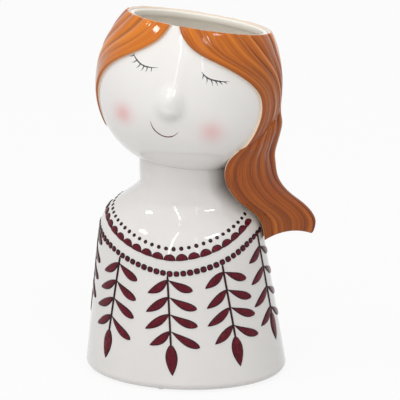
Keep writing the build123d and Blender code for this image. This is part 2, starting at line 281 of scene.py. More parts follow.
# Materials
class Graph:
    """The nodes of a material or a world, with short calls that add nodes and feed them."""

    def __init__(self, owner):
        owner.use_nodes = True
        self.owner = owner
        self.nodes = owner.node_tree.nodes
        self.links = owner.node_tree.links

    def feed(self, node, inputs):
        """Link an output to each input of a node, or set the input to a number or a colour."""
        for key, value in inputs.items():
            socket = node.inputs[key]
            if isinstance(value, bpy.types.NodeSocket):
                self.links.new(value, socket)
            else:
                socket.default_value = (*value, 1.0) if socket.type == "RGBA" else value

    def add(self, kind, inputs=None, **settings):
        node = self.nodes.new("ShaderNode" + kind)
        for key, value in settings.items():
            setattr(node, key, value)
        self.feed(node, inputs or {})
        return node

    def place(self):
        return self.add("TexCoord").outputs["Object"]

    def tone(self):
        return self.add("Attribute", attribute_name="tone").outputs["Fac"]

    def noise(self, source, scale, detail=3.0, roughness=0.55):
        inputs = {"Vector": source, "Scale": scale, "Detail": detail, "Roughness": roughness}
        return self.add("TexNoise", inputs).outputs["Fac"]

    def stretched(self, source, scale):
        return self.add("Mapping", {"Vector": source, "Scale": scale}).outputs["Vector"]

    def ramp(self, source, *stops):
        node = self.add("ValToRGB", {"Fac": source})
        elements = node.color_ramp.elements
        while len(elements) < len(stops):
            elements.new(0.5)
        for element, (place, colour) in zip(elements, stops):
            element.position = place
            element.color = (*colour, 1.0)
        return node.outputs["Color"]

    def mixed(self, share, first, second, mode="MIX"):
        """A blend of two colours, by the numbers of their sockets."""
        inputs = {0: share, 6: first, 7: second}
        return self.add("Mix", inputs, data_type="RGBA", blend_type=mode).outputs[2]

    def ranged(self, source, low, high, from_low=0.0, from_high=1.0):
        inputs = {"Value": source, "To Min": low, "To Max": high}
        inputs |= {"From Min": from_low, "From Max": from_high}
        return self.add("MapRange", inputs).outputs["Result"]

    def worked(self, operation, first, second):
        return self.add("Math", {0: first, 1: second}, operation=operation).outputs["Value"]

    def bumped(self, source, strength, distance):
        inputs = {"Height": source, "Strength": strength, "Distance": distance}
        return self.add("Bump", inputs).outputs["Normal"]

    def principled(self, inputs):
        self.feed(self.nodes["Principled BSDF"], inputs)
        return self.owner

    def blend(self, share, first, second, end):
        node = self.add("MixShader", {0: share, 1: first, 2: second})
        self.feed(self.nodes[end], {"Surface": node.outputs["Shader"]})


def glaze(name, light, dark, blush=None, roughness=(0.05, 0.11)):
    """A fired gloss glaze whose colour drifts a little; the tone attribute lays a blush on it."""
    graph = Graph(bpy.data.materials.new(name))
    place = graph.place()
    colour = graph.ramp(graph.noise(place, scale=28.0), (0.3, dark), (0.7, light))
    if blush:
        colour = graph.mixed(graph.tone(), colour, blush)
    ripple = graph.noise(place, scale=45.0, detail=2.0)
    return graph.principled({
        "Base Color": colour,
        "Roughness": graph.ranged(graph.noise(place, scale=60.0), *roughness),
        "Normal": graph.bumped(ripple, strength=0.05, distance=0.001),
        "Coat Weight": 0.4,
        "Coat Roughness": 0.03,
        "IOR": 1.5,
    })


def hair_material():
    """A runny glaze streaked along the strands, with painted shade in the grooves, and bare where tone is 1.
    """
    graph = Graph(bpy.data.materials.new("hair_glaze"))
    light, middle, deep = (0.62, 0.195, 0.014), (0.36, 0.088, 0.005), (0.16, 0.032, 0.003)
    groove_shade, bare_clay = (0.24, 0.15, 0.09), (0.80, 0.66, 0.52)
    black, white = (0, 0, 0), (1, 1, 1)
    strand = graph.add("UVMap", uv_map="strand").outputs["UV"]
    streaks = graph.noise(graph.stretched(strand, (38.0, 1.8, 1.0)), 1.0, detail=5.0, roughness=0.62)
    bands = graph.noise(graph.stretched(strand, (9.0, 1.4, 1.0)), 1.0)
    narrow = graph.ramp(streaks, (0.3, deep), (0.5, middle), (0.69, light))
    broad = graph.ramp(bands, (0.34, deep), (0.51, middle), (0.67, light))
    colour = graph.mixed(0.55, narrow, broad)
    # Painted shade: a low tone, in the grooves, along the crease and on the undersides, darkens the glaze
    shade = graph.ramp(graph.tone(), (0.0, groove_shade), (0.55, white))
    colour = graph.mixed(1.0, colour, shade, "MULTIPLY")
    place = graph.place()
    # Lighter towards the rim and darker down the fall: partly thinner and thicker glaze, and partly painted
    # light from above
    height = graph.add("SeparateXYZ", {"Vector": place}).outputs["Z"]
    level = graph.ranged(height, 0.0, 1.0, from_low=0.09, from_high=0.26)
    flick, fall, jaw = (0.0, (0.95, 0.86, 0.6)), (0.3, (0.82, 0.68, 0.5)), (0.5, (0.98, 0.82, 0.52))
    brow, rim = (0.75, (1.2, 1.15, 0.75)), (1.0, (1.5, 1.5, 1.1))
    colour = graph.mixed(1.0, colour, graph.ramp(level, flick, fall, jaw, brow, rim), "MULTIPLY")
    bare = graph.ramp(graph.tone(), (0.86, black), (1.0, white))
    return graph.principled({
        "Base Color": graph.mixed(bare, colour, bare_clay),
        "Roughness": graph.ranged(graph.noise(place, scale=40.0), 0.04, 0.12, from_low=0.3, from_high=0.7),
        "Normal": graph.bumped(streaks, strength=0.1, distance=0.0008),
        "IOR": 1.5,
        "Specular IOR Level": 0.34,
    })


def pattern_material():
    """A thick mottled glaze, almost black where tone is 1."""
    graph = Graph(bpy.data.materials.new("pattern_glaze"))
    deep, middle, light = (0.062, 0.002, 0.008), (0.128, 0.004, 0.014), (0.21, 0.022, 0.034)
    edge = (0.010, 0.006, 0.008)
    drift = graph.noise(graph.place(), scale=420.0, detail=4.0)
    fill = graph.ramp(drift, (0.3, deep), (0.6, middle), (0.8, light))
    return graph.principled({
        "Base Color": graph.mixed(graph.tone(), fill, edge),
        "Roughness": graph.ranged(drift, 0.06, 0.2),
        "Normal": graph.bumped(drift, strength=0.4, distance=0.0006),
        "Specular IOR Level": 0.18,
    })


def plain_material(name, light, dark, scale, roughness, bump):
    graph = Graph(bpy.data.materials.new(name))
    grain = graph.noise(graph.place(), scale, detail=5.0, roughness=0.6)
    return graph.principled({
        "Base Color": graph.ramp(grain, (0.3, dark), (0.7, light)),
        "Roughness": graph.ranged(grain, *roughness),
        "Normal": graph.bumped(grain, bump, distance=0.0005),
    })


# The face glaze is the bust's white glaze made lighter: painted light on the face, and the bust's glaze
# painted darker
white_glaze = glaze("white_glaze", (0.745, 0.722, 0.70), (0.715, 0.692, 0.67))
face_glaze = glaze("face_glaze", (0.845, 0.822, 0.795), (0.81, 0.787, 0.76), blush=(0.81, 0.41, 0.41))
cream_glaze = glaze("cream_glaze", (0.94, 0.90, 0.82), (0.90, 0.86, 0.78), roughness=(0.12, 0.2))
hair_glaze = hair_material()
pattern_glaze = pattern_material()
biscuit = plain_material(
    "bare_biscuit", (0.74, 0.70, 0.63), (0.64, 0.60, 0.53), scale=900.0, roughness=(0.6, 0.85), bump=0.25)
pad_rubber = plain_material(
    "pad_rubber", (0.20, 0.19, 0.18), (0.13, 0.125, 0.12), scale=1400.0, roughness=(0.5, 0.7), bump=0.3)
plug_rubber = plain_material(
    "plug_rubber", (0.050, 0.048, 0.046), (0.03, 0.03, 0.03), scale=1400.0, roughness=(0.45, 0.65), bump=0.3)
line_glaze = plain_material(
    "line_glaze", (0.03, 0.032, 0.05), (0.012, 0.013, 0.02), scale=600.0, roughness=(0.2, 0.35), bump=0.1)
mouth_glaze = plain_material(
    "mouth_glaze", (0.13, 0.025, 0.03), (0.07, 0.014, 0.018), scale=600.0, roughness=(0.2, 0.35), bump=0.1)

# The bust: rings from the neck down the skin, under the foot, up the drain and the cavity
ring_points = 256
ring_turns = np.linspace(0, 2 * math.pi, ring_points, endpoint=False)
neck_overlap = 0.6
foot_chamfer = 1.0
hole_edge = 0.6
neck_steps = 8
inner_neck_steps = 5
skin_steps = 150
foot_edge_steps = 10
floor_steps = 14
cavity_steps = 60


def joint_height(x):
    """Height where the neck ends, a little above the head's cut underside."""
    above = neck_overlap - head_joint_below
    return head_centre[2] + (above - (x - head_centre[0]) * head_axis[0]) / head_axis[2]


def level_ring(height, inset):
    shift, set_back, half_width, half_depth = bust_oval(height)
    x = shift + (half_width - inset) * np.sin(ring_turns)
    y = set_back - (half_depth - inset) * np.cos(ring_turns)
    return np.stack([x, y, np.full(ring_points, float(height))], axis=-1)


def foot_ring(inset, height):
    """A ring inside the oval at the top of the foot's rounded edge, put at another height."""
    ring = level_ring(base_plane + base_edge_radius, inset)
    ring[:, 2] = height
    return ring


def drain_ring(height):
    x = drain_radius * np.sin(ring_turns)
    return np.stack([x, -drain_radius * np.cos(ring_turns), np.full(ring_points, height)], axis=-1)


def neck_rings(inset, steps):
    """Rings from the joint with the head down to the level part of the neck."""
    low = level_ring(neck_top_height, inset)
    high = low.copy()
    high[:, 2] = joint_height(high[:, 0])
    return [high + (low - high) * share for share in np.linspace(0, 1, steps, endpoint=False)]


def floor_rings(first, last):
    """Rings after the first one, up to the last one."""
    return [first + (last - first) * share for share in np.linspace(0, 1, floor_steps)[1:]]


def build_bust():
    glossy, inner, bare = 0, 1, 2
    skin_heights = np.linspace(neck_top_height, base_plane + base_edge_radius, skin_steps)
    cavity_heights = np.linspace(floor_top, neck_top_height, cavity_steps)[1:]
    rings = neck_rings(0.0, neck_steps)
    rings += [level_ring(height, 0.0) for height in skin_heights]
    for angle in np.linspace(0, math.pi / 2, foot_edge_steps)[1:]:
        inset = base_edge_radius * (1 - math.cos(angle))
        rings.append(foot_ring(inset, base_plane + base_edge_radius * (1 - math.sin(angle))))
    outer = len(rings)
    rings.append(foot_ring(foot_ring_width - foot_chamfer, base_plane))
    rings.append(foot_ring(foot_ring_width, base_plane + foot_chamfer))
    foot = len(rings)
    for height in (base_plane + 2 * foot_chamfer, floor_under - foot_chamfer, floor_under):
        rings.append(foot_ring(foot_ring_width, height))
    rings += floor_rings(rings[-1], drain_ring(floor_under))
    rings += [drain_ring(height) for height in (floor_under + hole_edge, floor_top - hole_edge, floor_top)]
    recess = len(rings)
    rings += floor_rings(drain_ring(floor_top), level_ring(floor_top, bust_wall))
    rings += [level_ring(height, bust_wall) for height in cavity_heights]
    rings += neck_rings(bust_wall, inner_neck_steps)[::-1]
    row_finish = np.full(len(rings), inner)
    row_finish[:outer - 1] = glossy
    row_finish[outer - 1:foot] = bare
    row_finish[foot:recess] = glossy
    faces = grid_faces(len(rings), ring_points, around=True, closed=True)
    part = {"points": np.stack(rings), "faces": faces, "finish": np.repeat(row_finish, ring_points)}
    materials = [white_glaze, cream_glaze, biscuit]
    piece("bust_glazed", [part], materials, replaced=["torso_shell"])


build_bust()

# The head: rings from the joint up the face, over the rim and down the cavity
cheeks = ((-36.3, -17.1, 8.5, 0.74), (27.2, -18.1, 9.5, 0.6))
cheek_falloff = 1.6
face_steps = 190
rim_steps = 6
glazed_rim_steps = 2
head_cavity_steps = 60
lip_chamfer = 0.8
lip_to_cavity = 1.0


def head_ring(above, half_width, half_depth):
    return from_head(half_width * np.sin(ring_turns), -half_depth * np.cos(ring_turns), above)


def build_head():
    glossy, inner = 0, 1
    rings = []
    blushes = []
    for level in np.linspace(-head_joint_below, head_rim_above - rim_round, face_steps):
        half_width = float(head_half_width(level))
        side = half_width * np.sin(ring_turns)
        front = np.cos(ring_turns) > 0
        lift = np.where(front, nose_lift(side, level), 0.0)
        back = -head_depth_ratio * half_width * np.cos(ring_turns) - lift
        rings.append(from_head(side, back, level))
        blush = np.zeros(ring_points)
        for cheek_side, cheek_above, spread, strength in cheeks:
            away = ((side - cheek_side) ** 2 + (level - cheek_above) ** 2) / spread ** 2
            blush = np.maximum(blush, strength * np.exp(-away * cheek_falloff))
        blushes.append(np.where(front, blush, 0.0))
    outer = len(rings)
    edge = float(head_half_width(head_rim_above))
    for angle in np.linspace(0, math.pi / 2, rim_steps)[1:]:
        inset = rim_round * (1 - math.cos(angle))
        above = head_rim_above - rim_round * (1 - math.sin(angle))
        rings.append(head_ring(above, edge - inset, edge * head_depth_ratio - inset))
    lip_depth = rim_opening_half * head_depth_ratio
    for angle in np.linspace(0, math.pi / 2, rim_steps):
        inset = rim_round * (1 - math.sin(angle))
        above = head_rim_above - rim_round * (1 - math.cos(angle))
        rings.append(head_ring(above, rim_opening_half + inset, lip_depth + inset))
    lip_foot = head_rim_above - rim_lip_height
    rings.append(head_ring(lip_foot + lip_chamfer, rim_opening_half, lip_depth))
    rings.append(head_ring(lip_foot, rim_opening_half + lip_chamfer, lip_depth + lip_chamfer))
    for level in np.linspace(lip_foot - lip_to_cavity, -head_joint_below, head_cavity_steps):
        half_width = float(head_half_width(level))
        rings.append(head_ring(level, half_width - head_wall, half_width * head_depth_ratio - head_wall))
    tone = np.zeros((len(rings), ring_points))
    tone[:outer] = np.stack(blushes)
    row_finish = np.full(len(rings), inner)
    row_finish[:outer + glazed_rim_steps] = glossy
    finish = np.repeat(row_finish, ring_points)
    faces = grid_faces(len(rings), ring_points, around=True, closed=True)
    part = {"points": np.stack(rings), "faces": faces, "tone": tone, "finish": finish}
    piece("head_glazed", [part], [face_glaze, cream_glaze], replaced=["head_shell"])


build_head()

# Painted face: lash lines and the mouth as thin domed strokes
stroke_lift = 0.16
stroke_dome = ((-1, -0.05), (-0.6, 0.7), (0, 1), (0.6, 0.7), (1, -0.05))
stroke_ends = (0.25, 0.12)
left_lid = ((-36.2, 26.2), (-31.5, 21.6), (-26.2, 19.2), (-21.5, 19.0), (-15.2, 20.0))
right_lid = ((14.4, 22.4), (18.5, 19.2), (23.4, 17.9), (28.2, 17.6), (33.8, 18.0))
lid_width = 0.95
lash_width = 0.68
lash_shares = (0.1, 0.25, 0.4, 0.54, 0.68, 0.82)
lash_length = 4.6
lash_loss = 0.45
longest_lash = 2
lash_bend = 0.15
lash_bend_at = 0.55
mouth_path = ((-15.1, -17.3), (-12.6, -21.8), (-8.0, -25.2), (-2.5, -26.3), (2.2, -24.6), (5.5, -20.9))
mouth_width = 0.85


def stroke(path, width, taper, steps):
    """A thin tapering ribbon along side and height points on the face."""
    path = np.asarray(path, float)
    lengths = run_lengths(path)
    share = np.linspace(0, 1, steps)
    line = spline(lengths / lengths[-1], path, share)
    along = unit(np.gradient(line, axis=0))
    normal = np.stack([-along[:, 1], along[:, 0]], axis=-1)
    first_end = share / taper[0] + stroke_ends[0]
    last_end = (1 - share) / taper[1] + stroke_ends[1]
    thin = np.minimum(1, np.minimum(first_end, last_end))
    rows = []
    for across, dome in stroke_dome:
        flat = line + normal * (across * width / 2 * thin)[:, None]
        rows.append(face_point(flat[:, 0], flat[:, 1], stroke_lift * dome))
    return {"points": np.stack(rows), "faces": grid_faces(len(rows), steps)}


def lashes(lid, lean_start, lean_end):
    """The lid line and the short lashes that fan below it."""
    strokes = [stroke(lid, lid_width, taper=(0.35, 0.4), steps=30)]
    knots = np.linspace(0, 1, len(lid))
    for number, share in enumerate(lash_shares):
        root = spline(knots, lid, [share])[0]
        lean = math.radians(lean_start + (lean_end - lean_start) * number / (len(lash_shares) - 1))
        length = lash_length - lash_loss * abs(number - longest_lash)
        bent = lean + lash_bend
        middle = root + length * lash_bend_at * np.array([math.sin(bent), -math.cos(bent)])
        tip = root + length * np.array([math.sin(lean), -math.cos(lean)])
        strokes.append(stroke((root, middle, tip), lash_width, taper=(0.1, 0.7), steps=10))
    return strokes


mouth = stroke(mouth_path, mouth_width, taper=(0.3, 0.3), steps=60)
piece("left_lashes", lashes(left_lid, -66, 2), [line_glaze])
piece("right_lashes", lashes(right_lid, -4, 62), [line_glaze])
piece("mouth_line", [mouth], [mouth_glaze])

# Hair: sheets laid through guide lines from the rim to the flick, pushed clear of the head and bust
hair_thickness = 3.0
fall_cover = 0.9
under_depth = 1.0
bust_bite = 1.0
strand_steps = 220
groove_depth = 1.3
roomy_sheet, least_room = 42.0, 0.35
solid_from, solid_full = 44.0, 54.0

# Places along the hair, as stations from 0 at the rim to the end of the flick
station_end = 10.0
fall_start, fall_full = 3.6, 5.4
belly_depth, belly_loss, belly_loss_start = 7.0, 3.0, 7.0
tail_start, tail_lift = 8.0, 5.0
tip_station, tip_spread, tip_width, tip_loss = 3.4, 0.9, 12.0, 0.7
crease_station, crease_spread, crease_share, crease_loss = 1.9, 1.2, 0.3, 0.6

# Rounding of the edges: its radius and the share of the thickness left at the edge
hairline_edge = (1.6, 0.05)
lap_edge = (2.4, 0.5)
crease_edge = (7.0, 0.0)
rim_edge = (1.6, 0.55)
flick_edge = (2.2, 0.1)

# Tones: 1 is bare clay, and less is darker glaze; the crease shadow and the undersides' darker tone are
# painted shade
glazed_tone = 0.84
under_shade_tone = 0.3
pale_edge = 0.45
bare_under = 18.0
crease_shadow, crease_tone = 3.0, 0.1


# Guides: stations, and points on the head and then free of it
whole_stations = range(11)
flick_stations = (*range(10), 9.5, 10)
right_hairline = (
    (0, 0.5, 1, 1.5, 2, 2.5, 3, 3.5, 4, 4.6, 5.2, 6, 7, 8, 9, 9.5, 10),
    (*by_side((-7, 48.2), (-2.5, 41.8), (8, 34), (28.8, 26.3), (45.7, 17.3), (53.2, 8),
              (55.4, -3), (53.4, -16), (48, -28)),
     (40.5, -31.5, 169), (34.5, -28.5, 161.5), (31.8, -26, 152), (33.6, -23, 142),
     (41.5, -20, 131), (53, -14, 120), (57, -11, 112), (58.6, -8, 100.3)),
)
hair_crease = (
    flick_stations,
    (*by_side((38.3, 48.2), (52, 34), (62, 17), (64.6, -4)),
     (65, -11.5, 184), (61.2, -8.5, 167), (61.8, -7.5, 156), (65, -7, 145),
     (75.2, -7, 134), (87.3, -6, 123.6), (92.4, -5, 115.5), (91.4, -4, 106)),
)
outer_guide = (
    flick_stations,
    (*on_head((95, 48.2), (95, 34), (93, 17), (92, -4)),
     (66.6, 1, 182), (64, 1, 166), (64, 1, 156), (66.6, 1, 144),
     (76, 0.5, 132.5), (88.2, 0, 122.2), (92.8, -1, 114.5), (91.8, -2, 106)),
)
right_back_guide = (
    whole_stations,
    (*on_head((140, 48.2), (139, 32), (136, 12), (130, -12)),
     (57, 28, 174), (53, 28, 161), (53, 25, 150), (57, 21, 139),
     (66, 15, 127), (77, 9, 115.5), (87, 2, 106.2)),
)
back_guide = (
    whole_stations,
    (*on_head((192, 48.2), (188, 30), (181, 8), (170, -20)),
     (34, 40, 169), (35, 34, 156), (38, 29, 144), (45, 23, 132),
     (55, 16, 120.5), (67, 9.5, 112), (79, 3, 106.6)),
)
left_back_guide = (
    whole_stations,
    (*on_head((252, 48.2), (244, 29), (230, 5), (212, -24), (180, -40)),
     (22, 36, 153), (31, 30, 140), (39, 23, 128), (48, 16, 116), (58, 9, 108), (69, 2, 104.4)),
)
left_hairline = (
    (0, 0.5, 1, 1.6, 2.3, 2.9, 3.4, 3.8, 4.3, 4.8, 5.5, 6.2, 7, 8, 9, 10),
    (*by_side((-12, 48.2), (-17.5, 38), (-30, 28), (-47.6, 15.8), (-59, -1.5), (-58.6, -18),
              (-53.2, -32.5)),
     *on_head((270, -38), (240, -42), (200, -45)),
     (11, 36, 152), (22, 31, 141), (32, 24, 129), (43, 16, 114), (51, 9, 106), (59, 0, 100.3)),
)


def clear_of_head(points):
    """Points moved out to the head's skin where they lie inside it."""
    least_size = 1e-3
    side, back, above = to_head(points)
    half_width = head_half_width(above)
    half_depth = half_width * head_depth_ratio
    inside = (above > -head_drop) & (above < head_rise)
    size = np.sqrt((side / half_width) ** 2 + (back / half_depth) ** 2)
    grow = np.where(inside & (size < 1), 1 / np.maximum(size, least_size), 1.0)
    return from_head(side * grow, back * grow, above)


def clear_of_bust(points):
    """Points moved out to just under the bust's skin where they lie deeper than that."""
    least_size = 0.05
    shift, set_back, half_width, half_depth = bust_oval(points[..., 2])
    side, back = points[..., 0] - shift, points[..., 1] - set_back
    size = np.sqrt((side / (half_width - bust_bite)) ** 2 + (back / (half_depth - bust_bite)) ** 2)
    grow = np.where(size < 1, 1 / np.maximum(size, least_size), 1.0)
    return np.stack([shift + side * grow, set_back + back * grow, points[..., 2]], axis=-1)


def strand_relief(across, along, edges, seed, locks):
    """Height and tone of strands, with grooves between them and fine combed lines; the tone is painted
    shade, darker in the grooves and in the hollows of the fine lines.

    Each groove has its own run of deep and shallow stretches, so that strands join and part.
    """
    whole_turn = 2 * math.pi
    sway_size, lock_fade, fine_drift = 0.016, 0.12, 1.2
    fine_counts, fine_depth, fine_tone, groove_tone = (13, 22, 37), 0.02, 0.08, 0.95
    draws = np.random.default_rng(seed)
    sway = sway_size * np.sin(whole_turn * (0.9 * along + 1.4 * across)) * np.sin(math.pi * along)
    place = np.clip(across + sway, 0, 1)
    groove = np.zeros_like(place)
    for edge in edges[1:-1]:
        width = draws.uniform(0.2, 0.5) / len(edges)
        slant = draws.uniform(-0.5, 0.5) / len(edges)
        start = draws.uniform(-0.3, 0.45)
        run = draws.uniform(0.45, 1.0)
        strength = draws.uniform(0.55, 1.0)
        near = bell(place, edge + slant * (along - 0.5), width)
        swell = np.sin(math.pi * np.clip((along - start) / run, 0, 1)) ** 0.6
        groove = np.maximum(groove, near * swell * strength)
    for edge, width, run, share in locks:
        near = bell(place, edge, width)
        groove = np.maximum(groove, near * np.clip((run - along) / lock_fade, 0, 1) * share)
    fine = np.zeros_like(place)
    for count in fine_counts:
        phase = draws.uniform(0, whole_turn)
        drift = fine_drift * np.sin(whole_turn * (along * draws.uniform(0.4, 1.2) + across * 2))
        fine += np.sin(whole_turn * count * place + phase + drift) / len(fine_counts)
    # Painted shade: the tone drops in the grooves and in the fine lines' hollows
    tone = np.clip(1 - groove_tone * groove + fine_tone * fine, 0, 1)
    return fine_depth * fine - groove_depth * groove, tone


def sheet_base(guides, stations, shares):
    """Points of a sheet through its guide lines; a sheet with only two is arched between them."""
    lines = np.stack([spline(*guide, stations) for guide in guides], axis=1)
    if len(guides) > 2:
        knots = np.linspace(0, 1, len(guides))
        base = np.stack([spline(knots, row, shares) for row in lines])
    else:
        chord = lines[:, 1] - lines[:, 0]
        outward = unit(np.stack([chord[:, 1], -chord[:, 0], np.zeros(len(chord))], axis=-1))
        belly = belly_depth - belly_loss * grown(stations, belly_loss_start, station_end)
        belly = belly * grown(stations, fall_start, fall_full)
        arch = 4 * shares * (1 - shares)
        base = lines[:, :1] + chord[:, None, :] * shares[None, :, None]
        base = base + (outward * belly[:, None])[:, None, :] * arch[None, :, None]
        tail = grown(stations, tail_start, station_end) ** 2
        base[..., 2] += tail_lift * tail[:, None] * arch[None, :]
    return clear_of_bust(clear_of_head(base))


def sheet_normals(base):
    """Unit vectors out of a sheet, on its side away from the head."""
    normal = unit(np.cross(np.gradient(base, axis=0), np.gradient(base, axis=1)))
    middle = (base.shape[0] // 4, base.shape[1] // 2)
    outside = normal[middle] @ (base[middle] - head_centre) > 0
    return normal if outside else -normal


def rounded(distance, edge):
    """Share of the full thickness at a distance from a rounded edge."""
    radius, low = edge
    share = np.clip(distance / radius, 0, 1)
    return low + (1 - low) * np.sqrt(1 - (1 - share) ** 2)


def hair_sheet(name, guides, columns, edges, seed, inward, left_edge, right_edge, replaced, locks=()):
    """A closed sheet through guide lines, with rounded edges, strands on top and a plain underside."""
    shares = np.linspace(0, 1, columns)
    stations = np.linspace(0, station_end, strand_steps)
    base = sheet_base(guides, stations, shares)
    stations = stations[:, None]
    normal = sheet_normals(base)
    from_left = run_lengths(base, 1)
    from_right = from_left[:, -1:] - from_left
    from_rim = run_lengths(base, 0)
    profile = rounded(from_left, left_edge) * rounded(from_right, right_edge)
    if right_edge == hairline_edge:
        profile *= 1 - tip_loss * bell(stations, tip_station, tip_spread) * bell(from_right, 0.0, tip_width)
    profile *= rounded(from_rim, rim_edge) * rounded(from_rim[-1:] - from_rim, flick_edge)
    grid_along, grid_across = np.meshgrid(np.linspace(0, 1, strand_steps), shares, indexing="ij")
    relief, tone = strand_relief(grid_across, grid_along, edges, seed, locks)
    room = np.clip(from_left[:, -1:] / roomy_sheet, least_room, 1.0)
    tone = 1 - (1 - tone) * room
    fallen = grown(stations, fall_start, fall_full)
    fallen = fallen * fallen * (3 - 2 * fallen)
    cover = hair_thickness + (fall_cover - hair_thickness) * fallen
    shadow = 1.0
    if left_edge == crease_edge:
        at_crease = bell(stations, crease_station, crease_spread) * bell(shares[None, :], 0.0, crease_share)
        cover = cover * (1 - crease_loss * at_crease)
        # Painted shadow along the back sheet's edge in the crease, under the front sheet
        shadow = np.clip(from_left / crease_shadow, crease_tone, 1)
    top = base + normal * (cover * profile + relief * room * np.minimum(profile, 1))[..., None]
    under = base - normal * under_depth
    solid = base.copy()
    solid[..., 1] = inward
    solid_share = fallen * grown(base[..., 0], solid_from, solid_full)
    under = clear_of_bust(under + (solid - under) * solid_share[..., None])
    pale = from_rim < pale_edge
    # Painted shade: the sheets' undersides are darkened, except at the rim and along the bare edge by the
    # hairline
    low_tone = np.full_like(tone, under_shade_tone)
    low_tone[0] = 1.0
    if left_edge == hairline_edge:
        pale |= from_left < pale_edge
        low_tone[from_left < bare_under] = 1.0
    if right_edge == hairline_edge:
        pale |= from_right < pale_edge
    top_tone = np.where(pale, 1.0, tone * glazed_tone * shadow)
    ring_across = np.concatenate([grid_across, grid_across[:, ::-1]], axis=1)
    ring_along = np.concatenate([grid_along, grid_along], axis=1)
    first = np.arange(columns - 1)
    mirror = 2 * columns - 1 - first
    cap = np.stack([first, first + 1, mirror - 1, mirror], axis=-1)
    last_cap = cap + (strand_steps - 1) * 2 * columns
    around = grid_faces(strand_steps, 2 * columns, around=True)
    part = {
        "points": np.concatenate([top, under[:, ::-1]], axis=1),
        "faces": np.concatenate([around, cap, last_cap]),
        "tone": np.concatenate([top_tone, low_tone[:, ::-1]], axis=1),
        "uv": np.stack([ring_across, ring_along], axis=-1).reshape(-1, 2),
    }
    piece(name, [part], [hair_glaze], replaced=replaced)


# Grooves across each sheet as shares of its width, and locks as place, width, run and depth
front_edges = (0.0, 0.17, 0.35, 0.48, 0.66, 0.84, 1.0)
back_grooves = 17
back_edges = np.linspace(0.06, 0.95, back_grooves) + random.uniform(-0.016, 0.016, back_grooves)
back_edges = np.sort(np.concatenate([[0.0, 1.0], back_edges]))
left_locks = (
    (0.862, 0.006, 0.42, 0.8), (0.89, 0.007, 0.36, 0.9), (0.918, 0.006, 0.34, 0.8),
    (0.945, 0.007, 0.3, 0.9), (0.968, 0.005, 0.24, 0.6),
)
back_guides = (hair_crease, outer_guide, right_back_guide, back_guide, left_back_guide, left_hairline)
hair_sheet(
    "front_hair_sheet", (right_hairline, hair_crease), columns=200, edges=front_edges, seed=3, inward=1.0,
    left_edge=hairline_edge, right_edge=lap_edge, replaced=["right_hair_sweep", "side_fall"])
hair_sheet(
    "back_hair_sheet", back_guides, columns=420, edges=back_edges, seed=5, inward=-1.0,
    left_edge=crease_edge, right_edge=hairline_edge,
    replaced=["back_hair", "side_fall_back", "left_hair_lock"], locks=left_locks)

# Raised pattern on the bust; a row is its heights in front, beside and behind, and a rise at each side
pattern_relief = 0.7
pattern_seat = -0.15
dot_row = (101.6, 129.2, 125.0, -0.3, 1.5)
dot_pitch, dot_size, dot_relief = 5.4, 2.9, 0.3
scallop_row = (95.4, 120.8, 119.0, 2.4, 4.1)
scallop_pitch, scallop_width, scallop_height = 8.5, 8.7, 4.3
scallop_belly, scallop_drop = 0.5, 0.35
bead_line = (84.5, 111.7, 104.0, 0.2, 2.2)
bead_pitch, bead_size, bead_flatness, bead_power = 4.8, 4.35, 0.98, 2.6
rise_width = 22.0
rise_turn = 75.0
row_soft = 0.22
row_power = 0.85
row_sway = -0.95
row_samples = 1441

# Heights up the hair that lies on the bust, with its inner edge and half depth at each
fall_heights = (97, 114, 130, 145)
fall_inner = (57, 46, 33, 27)
fall_half_depth = (5, 9, 15, 24)


def domed(turn, height, outline, rings, edge_width, lift=pattern_relief):
    """A raised spot inside an outline of offsets to the right and up; dark towards its edge."""
    edge_lift, edge_tone = 0.12, 1.25
    right, up = outline
    from_right, from_up = right - right.mean(), up - up.mean()
    sizes = np.concatenate([np.linspace(0.02, 0.8, rings), [0.93, 1.0, 1.0]])[:, None]
    lifts = lift * np.sqrt(np.maximum(0.0, 1 - sizes ** 4)) + edge_lift
    lifts[-1] = pattern_seat
    at_right = right.mean() + from_right * sizes
    at_up = up.mean() + from_up * sizes
    inside = np.hypot(from_right, from_up) * (1 - sizes)
    return {
        "points": on_bust(turn, height, at_right, at_up, lifts),
        "faces": grid_faces(len(sizes), len(right), around=True),
        "tone": np.clip(edge_tone - inside / edge_width, 0, 1),
    }


def row_height(row, turn):
    """Height of a row at a turn: low in front, higher at the sides, with a small rise at each side."""
    front, side, back, left, right = row
    cosine = math.cos(math.radians(turn))
    ahead = (math.hypot(cosine, row_soft) + cosine) / (math.hypot(1, row_soft) + 1)
    behind = (math.hypot(cosine, row_soft) - cosine) / 2
    fall = 1 - max(1 - ahead, 0) ** row_power
    rise = left * bell(turn, -rise_turn, rise_width) + right * bell(turn, rise_turn, rise_width)
    rise += row_sway * math.sin(math.radians(2 * turn))
    return side + (front - side) * fall + (back - side) * behind + rise


def under_hair(point):
    """True where the hair that falls over the shoulder covers the bust."""
    x, y, z = point
    inner = np.interp(z, fall_heights, fall_inner)
    half_depth = np.interp(z, fall_heights, fall_half_depth)
    return bool(z > fall_heights[0] and x > inner and abs(y) < half_depth)


def row_places(row, pitch):
    """Turns and heights at an even pitch along a row round the bust, without those under the hair."""
    turns = np.linspace(-180, 180, row_samples)
    heights = np.array([row_height(row, turn) for turn in turns])
    points = bust_point(turns, heights)
    run = run_lengths(points)
    count = round(run[-1] / pitch)
    at = (np.arange(count) + 0.5) * run[-1] / count
    places = [(float(np.interp(a, run, turns)), float(np.interp(a, run, heights))) for a in at]
    return [place for place in places if not under_hair(bust_point(*place))]


def row_slope(row, turn):
    """Angle of the row on the skin at a turn."""
    step = 1.0
    degree, rise, _ = bust_frame(turn, row_height(row, turn))
    climb = row_height(row, turn + step) - row_height(row, turn - step)
    return math.atan2(climb * rise, degree * 2 * step)


